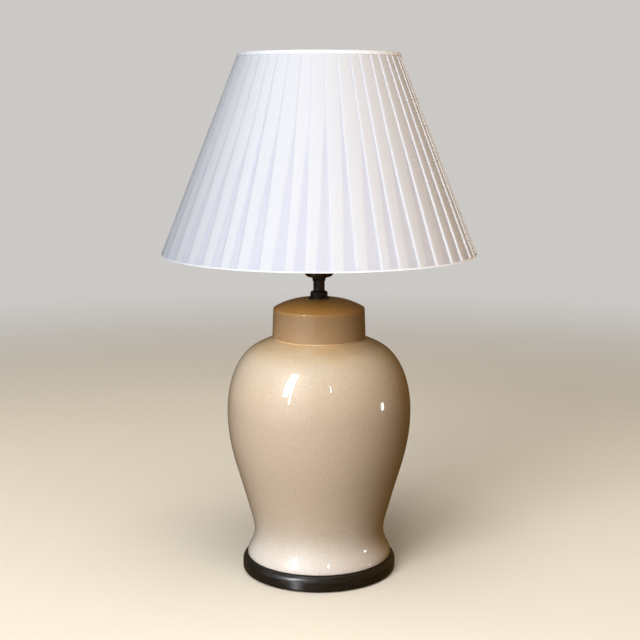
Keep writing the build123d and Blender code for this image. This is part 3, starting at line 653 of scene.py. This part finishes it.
def jarBody(material):
    # The whole wall as one closed profile turned round the axis: foot, outside, neck, and back down
    # an inside that lies one wall's thickness square to the outside
    foot, top = jarBox[0][2], jarBox[1][2]
    lip, wall, neck, hole = (jarShape[key] for key in ("lip", "wall", "neck", "pipeHole"))
    lean = math.radians(jarShape["shoulderSlope"])
    inward = (-math.cos(lean), math.sin(lean))
    outside = smoothCurve(jarShape["outline"], (0, 1), inward, jarShape["outlinePoints"])
    heading = np.gradient(outside, axis=0)
    heading /= np.linalg.norm(heading, axis=1)[:, None]
    inside = outside + wall * np.stack([-heading[:, 1], heading[:, 0]], axis=1)
    inside = inside[(inside[:, 1] > wall) & (inside[:, 0] > neck - wall)][::-1]
    quarter = np.linspace(-np.pi / 2, 0, 6)[1:-1]
    footRadius = jarShape["outline"][0][0]
    edge = np.stack([footRadius - lip + lip * np.cos(quarter), lip + lip * np.sin(quarter)], axis=1)
    roundness = jarShape["neckRound"]
    arch = np.linspace(0, np.pi, 9)
    rimMiddle = (neck - wall / 2, top - foot - roundness)
    rim = np.stack([rimMiddle[0] + wall / 2 * np.cos(arch), rimMiddle[1] + roundness * np.sin(arch)], axis=1)
    flat = np.linspace(0, 1, 6)[:, None]
    floor = np.array((inside[-1][0], wall)) * (1 - flat) + np.array((hole, wall)) * flat
    bottom = np.array((hole, 0.0)) * (1 - flat) + np.array((footRadius - lip, 0.0)) * flat
    seat = np.array([jarShape["seat"], (neck, jarShape["seat"][1])])
    ledge = np.array([(jarShape["seat"][0], outside[-1][1])])
    under = np.array([(neck - wall, inside[0][1])])
    profile = np.concatenate([bottom, edge, outside, ledge, seat, rim, under, inside, floor])
    points = turned(profile[:, 0], profile[:, 1] + foot, jarShape["columns"])
    piece = gridPiece("jarBody", points, material, wrap=True, closed=True, sharp=40)
    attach(piece, "lamp")
    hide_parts("jar")
    return piece


jar = jarBody(speckledGlaze("jarGlazeAndLight", jarBox, jarGlazeAndLight))
print("jar and lid glazed")


# Dark and light tone, width of a blotch in metres, metallic share, least roughness and what wear adds to it
metals = {
    "darkBronze": ((0.036, 0.033, 0.030), (0.075, 0.065, 0.055), 0.012, 0.7, 0.38, 0.15),
    "agedBrass": ((0.035, 0.026, 0.018), (0.26, 0.19, 0.11), 0.006, 0.85, 0.34, 0.2),
    "brightBrass": ((0.72, 0.52, 0.22), (0.85, 0.66, 0.34), 0.01, 1.0, 0.22, 0.1),
    "spiderBrass": ((0.58, 0.43, 0.2), (0.74, 0.58, 0.3), 0.008, 1.0, 0.32, 0.15),
    "plainSteel": ((0.5, 0.5, 0.49), (0.66, 0.66, 0.64), 0.006, 1.0, 0.3, 0.15),
    "bulbMetal": ((0.66, 0.66, 0.65), (0.78, 0.78, 0.77), 0.008, 1.0, 0.25, 0.1),
}
metalPieces = {
    "darkBronze": (
        "neck", "harp_saddle", "harp_wire", "harp_stud", "harp_sleeve_front", "harp_sleeve_back", "finial",
    ),
    "agedBrass": ("check_ring", "socket_cap", "socket_shell"),
    "brightBrass": ("terminal_screws", "screw_shell", "centre_contact", "key_shaft"),
    "spiderBrass": ("shade_spider",),
    "plainSteel": ("base_washer", "base_lock_nut", "lamp_pipe"),
    "bulbMetal": ("bulb_contact", "bulb_screw_cap"),
}


def patinatedMetal(name, dark, light, patch, metallic, rough, wear):
    metal = Finish(name, Metallic=metallic)
    blotch = metal.noise(patch, 4.0, 0.6)
    tone = metal.mix(metal.span(blotch, 0.4, 0.7), dark, light)
    grit = metal.noise(0.0009, 2.0, 0.6)
    polish = metal.span(grit, 0.3, 0.8, rough, rough + wear)
    return metal.paint(Base_Color=tone, Roughness=polish, Normal=metal.bump(grit, 0.0001, 0.25))


for name, pieces in metalPieces.items():
    dress(patinatedMetal(name, *metals[name]), *pieces)


def plinthFinish():
    # Nearly black lacquer over turned wood, whose rings run across
    wood = Finish("plinthLacquer", Coat_Weight=0.6, Coat_Roughness=0.2)
    rings = wood.noise(0.004, 4.0, 0.6, stretch=(9.0, 1.0, 1.0))
    tone = wood.mix(wood.span(rings, 0.3, 0.75), (0.007, 0.006, 0.005), (0.022, 0.016, 0.012))
    worn = wood.noise(0.02, 3.0, 0.5)
    rough = wood.span(worn, 0.3, 0.7, 0.34, 0.46)
    return wood.paint(Base_Color=tone, Roughness=rough, Normal=wood.bump(rings, 0.00025, 0.35))


def mouldedFinish(name, colour, rough):
    plastic = Finish(name, Base_Color=colour)
    skin = plastic.noise(0.0012, 2.0, 0.5)
    dull = plastic.span(skin, 0.2, 0.8, rough, rough + 0.12)
    return plastic.paint(Roughness=dull, Normal=plastic.bump(skin, 0.00008, 0.3))


def cardFinish():
    card = Finish("fibreCard", Roughness=0.9)
    fibres = card.noise(0.0012, 4.0, 0.7, stretch=(1.0, 1.0, 4.0))
    tone = card.mix(fibres, (0.24, 0.2, 0.15), (0.42, 0.36, 0.28))
    return card.paint(Base_Color=tone, Normal=card.bump(fibres, 0.0001, 0.4))


def wireFinish():
    coat = Finish("frameWireCoat", Roughness=0.4)
    chips = coat.noise(0.004, 3.0, 0.6)
    tone = coat.mix(coat.span(chips, 0.68, 0.74), (0.82, 0.82, 0.80), (0.5, 0.48, 0.44))
    return coat.paint(Base_Color=tone, Normal=coat.bump(chips, 0.0001, 0.3))


def filamentFinish():
    wire = Finish("filamentWire", Metallic=1.0, Roughness=0.4)
    drawn = wire.noise(0.0006, 1.0, 0.5)
    return wire.paint(Base_Color=wire.mix(drawn, (0.22, 0.22, 0.23), (0.42, 0.42, 0.43)))


def glassFinish(name, colour, rough, transmission):
    glass = Finish(name, Transmission_Weight=transmission, IOR=1.46)
    ripple = glass.noise(0.01, 2.0, 0.5)
    return glass.paint(
        Base_Color=glass.mix(ripple, colour, tuple(0.97 * part for part in colour)),
        Roughness=glass.span(ripple, 0.0, 1.0, rough, rough + 0.04),
    )


blackPlastic = mouldedFinish("mouldedBlack", (0.018, 0.017, 0.017), 0.25)
dress(plinthFinish(), "base_plinth")
dress(mouldedFinish("bushingPlastic", (0.022, 0.022, 0.022), 0.45), "cord_bushing")
dress(blackPlastic, "socket_body", "switch_key", "bulb_insulator")
dress(cardFinish(), "socket_insulator")
dress(wireFinish(), "shade_bottom_ring", "shade_top_ring", "shade_ribs")
dress(filamentFinish(), "bulb_filament")
dress(glassFinish("frostedGlass", (0.93, 0.93, 0.91), 0.45, 0.35), "bulb_glass")
dress(glassFinish("clearGlass", (0.9, 0.93, 0.92), 0.03, 0.9), "bulb_stem")
print("metals, wood, plastics and glass")


felt = {
    "hole": 0.004,               # radius that the mesh leaves open in the middle
    "columns": 160,
    "fibre": 0.0011,
    "dark": (0.012, 0.018, 0.013),
    "light": (0.055, 0.075, 0.055),
}


def feltPad():
    # A flat disc with a soft edge: the profile is a thin rounded slab turned round the axis
    low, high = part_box("base_felt")
    radius = high[0]
    thick = high[2] - low[2]
    edge = np.linspace(-np.pi / 2, np.pi / 2, 9)
    rim = radius - thick / 2 + thick / 2 * np.cos(edge)
    level = low[2] + thick / 2 + thick / 2 * np.sin(edge)
    inner = np.linspace(felt["hole"], radius - thick / 2, 14)
    profileRadius = np.concatenate([inner[:-1], rim, inner[::-1][1:]])
    profileHeight = np.concatenate([0 * inner[:-1] + low[2], level, 0 * inner[1:] + high[2]])
    finish = Finish("pressedFelt", Roughness=0.95, Sheen_Weight=0.5, Sheen_Roughness=0.6)
    fibres = finish.noise(felt["fibre"], 4.0, 0.7)
    tone = finish.mix(fibres, felt["dark"], felt["light"])
    material = finish.paint(Base_Color=tone, Normal=finish.bump(fibres, 0.0003, 0.6))
    points = turned(profileRadius, profileHeight, felt["columns"])
    piece = gridPiece("feltPad", points, material, wrap=True, closed=True)
    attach(piece, "lamp")
    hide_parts("base_felt")


cork = {
    "width": 0.014,
    "bulge": 0.0001,
    "columns": 160,
    "grain": 0.0016,
    "light": (0.42, 0.26, 0.13),
    "dark": (0.2, 0.11, 0.05),
}


def corkRing():
    # A rectangle with bulged sides, as cork squeezed between the plinth and the jar
    low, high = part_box("jar_gasket")
    width = cork["width"]
    outer = high[0]
    side = np.linspace(0, 1, 5)
    bulge = cork["bulge"] * np.sin(np.pi * side)
    height = low[2] + (high[2] - low[2]) * side
    flat = np.linspace(0, 1, 4)[1:-1]
    outerSide = outer - cork["bulge"] + bulge
    innerSide = outer - width + cork["bulge"] - bulge
    radius = np.concatenate([outerSide, outer - width * flat, innerSide, outer - width * (1 - flat)])
    level = np.concatenate([height, 0 * flat + high[2], height[::-1], 0 * flat + low[2]])
    finish = Finish("pressedCork", Roughness=0.9)
    grains = finish.spots(cork["grain"])
    tone = finish.mix(finish.span(grains, 0.1, 0.7), cork["light"], cork["dark"])
    material = finish.paint(Base_Color=tone, Normal=finish.bump(grains, 0.0003, 0.5))
    piece = gridPiece("corkRing", turned(radius, level, cork["columns"]), material, wrap=True, closed=True)
    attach(piece, "lamp")
    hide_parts("jar_gasket")


feltPad()
corkRing()
print("felt and cork")

studio = {
    "floorRadius": 3.0,
    "floorFade": (1.0, 2.6),     # metres from the lamp
    "floorColour": (0.72, 0.68, 0.60),
    "floorTooth": 0.15,          # width and share of its faint unevenness
    "background": (0.60, 0.585, 0.56),
    "left": (0.05, 0.05, 0.05),
    "middle": (0.09, 0.06, 0.03),
    "right": (0.25, 0.13, 0.03),
    "below": (0.10, 0.06, 0.02),
    "belowSpan": (-0.3, 0.1),    # how high a direction looks, from -1 to 1
}

# A broad upright glow at the left; its foot and head are spans of how high a direction looks
glow = {
    "azimuth": 38,
    "inner": 8,
    "outer": 36,
    "foot": (-0.35, 0.0),
    "head": (0.75, 0.97),
    "colour": (0.52, 0.55, 0.60),
}


def layFloor():
    # A pale disc that fades out with distance; the light that it would throw back is the world's "below"
    share = np.linspace(0, 1, 12)[:, None] ** 1.5
    angle = np.linspace(0, 2 * np.pi, 96, endpoint=False)[None, :]
    points = ringPoints(0.001 + studio["floorRadius"] * share, angle, 0 * share)[::-1]
    paper = Finish("studioFloor", Roughness=0.75)
    far = paper.node("ShaderNodeVectorMath", {"operation": "LENGTH"}, {0: paper.point}, output=1)
    fade = paper.span(far, *studio["floorFade"], 1.0, 0.0)
    tooth = paper.noise(studio["floorTooth"], 2.0, 0.5)
    colour = studio["floorColour"]
    tone = paper.mix(tooth * studio["floorTooth"], colour, tuple(0.95 * part for part in colour))
    piece = gridPiece("studioFloor", points, paper.paint(Base_Color=tone, Alpha=fade), wrap=True)
    piece.visible_diffuse = False
    piece.visible_glossy = False
    return piece


def lightWorld():
    # Pale behind the lamp. What lights the lamp is warmer from the right and from below, with the glow
    # at the left.
    world = bpy.data.worlds.new("studioWorld")
    bpy.context.scene.world = world
    world.use_nodes = True
    world.node_tree.nodes.clear()
    sky = NodeSet(world.node_tree)
    sky.point = sky.node("ShaderNodeTexCoord", output=0)
    rise = sky.axis("Z")
    sides = sky.ramp(
        sky.axis("X") * 0.5 + 0.5,
        [(0.0, studio["left"]), (0.5, studio["middle"]), (1.0, studio["right"])],
    )
    around = sky.mix(sky.span(rise, *studio["belowSpan"]), studio["below"], sides)
    level = sky.node("ShaderNodeVectorMath", {"operation": "MULTIPLY"}, {0: sky.point, 1: (1, 1, 0)})
    level = sky.node("ShaderNodeVectorMath", {"operation": "NORMALIZE"}, {0: level})
    turn = math.radians(glow["azimuth"])
    towards = (-math.sin(turn), -math.cos(turn), 0)
    facing = sky.node("ShaderNodeVectorMath", {"operation": "DOT_PRODUCT"}, {0: level, 1: towards}, output=1)
    outer, inner = (math.cos(math.radians(glow[key])) for key in ("outer", "inner"))
    sideways = sky.span(facing, outer, inner)
    upright = sky.span(rise, *glow["foot"]) * sky.span(rise, *glow["head"], 1.0, 0.0)
    around = sky.mix(sideways * upright, around, glow["colour"])
    lighting = sky.node("ShaderNodeBackground", values={"Color": around})
    backdrop = sky.node("ShaderNodeBackground", values={"Color": studio["background"]})
    seen = sky.node("ShaderNodeLightPath", output=0)
    both = sky.node("ShaderNodeMixShader", values={0: seen, 1: lighting, 2: backdrop})
    sky.node("ShaderNodeOutputWorld", values={0: both})


panelDistance = 3.0


def hangLight(name, aim, azimuth, elevation, width, height, power, colour):
    # A panel that faces the lamp's axis at the height aim; azimuth 0 is in front and grows to the left
    data = bpy.data.lights.new(name, "AREA")
    data.shape = "RECTANGLE"
    data.size = width
    data.size_y = height
    data.energy = power
    data.color = colour
    light = bpy.data.objects.new(name, data)
    turn, rise = math.radians(azimuth), math.radians(elevation)
    away = (-math.sin(turn) * math.cos(rise), -math.cos(turn) * math.cos(rise), math.sin(rise))
    target = (0, 0, aim)
    light.location = [target[part] + panelDistance * away[part] for part in range(3)]
    light.rotation_euler = (math.pi / 2 - rise, 0, -turn)
    light.visible_camera = False
    bpy.context.scene.collection.objects.link(light)
    return light


def lightOnly(light, pieces):
    # A flagged light: it falls on these pieces alone
    chosen = bpy.data.collections.new(light.name + "Pieces")
    for piece in pieces:
        chosen.objects.link(piece)
    light.light_linking.receiver_collection = chosen


floor = layFloor()
lightWorld()
shadeSide = [nodes[name] for name in nodes if name.startswith("shade_")]
shadeSide += [cover, liningSheet, bottomTrim, topTrim]
jarSide = [piece for piece in bpy.data.objects if piece.type == "MESH" and piece not in shadeSide]

# Each panel has azimuth and elevation in degrees, width and height in metres, watts, and a colour. The keys
# light a surface and make no highlight on it, and the others make highlights alone.
panelGroups = [
    {"keys": True, "aim": 0.5, "pieces": shadeSide, "panels": {
        "shadeLeft": (20, 8, 1.4, 1.2, 50, (0.66, 0.8, 1.0)),
        "shadeFront": (-3, 10, 1.4, 1.2, 72, (1.0, 0.94, 0.87)),
        "shadeWarm": (-85, 12, 1.2, 1.2, 12, (1.0, 0.62, 0.25)),
    }},
    {"keys": True, "aim": 0.2, "pieces": jarSide, "panels": {
        "jarKey": (31, 30, 1.3, 1.0, 52, (1.0, 0.95, 0.89)),
        "jarLeft": (50, 6, 1.2, 1.0, 5, (0.8, 0.88, 1.0)),
        "jarLow": (18, 8, 1.2, 1.0, 33, (1.0, 0.93, 0.83)),
    }},
    {"keys": True, "aim": 0, "pieces": [floor], "panels": {
        "floorTop": (0, 70, 2.6, 2.6, 90, (1.0, 0.97, 0.92)),
    }},
    {"keys": False, "aim": 0.35, "pieces": None, "panels": {
        "tallPanel": (44, 34.5, 0.38, 2.1, 42, (0.92, 0.97, 1.0)),
        "narrowPanel": (37.3, 31, 0.13, 2.6, 17, (0.92, 0.97, 1.0)),
    }},
    {"keys": False, "aim": 0.35, "pieces": [jar], "panels": {
        "farLamp": (-16, 29, 0.10, 0.42, 3, (1.0, 1.0, 1.0)),
        "sideLamp": (-84, -3, 0.24, 0.30, 4, (1.0, 1.0, 1.0)),
    }},
    {"keys": False, "aim": 0, "pieces": [nodes["base_plinth"]], "panels": {
        "plinthSheen": (34, -12, 0.45, 1.7, 14, (0.9, 0.95, 1.0)),
    }},
]
for group in panelGroups:
    for name, panel in group["panels"].items():
        light = hangLight(name, group["aim"], *panel)
        light.visible_glossy = not group["keys"]
        light.visible_diffuse = group["keys"]
        if group["pieces"]:
            lightOnly(light, group["pieces"])
bpy.context.scene.view_settings.view_transform = "Standard"
print("floor and lights")
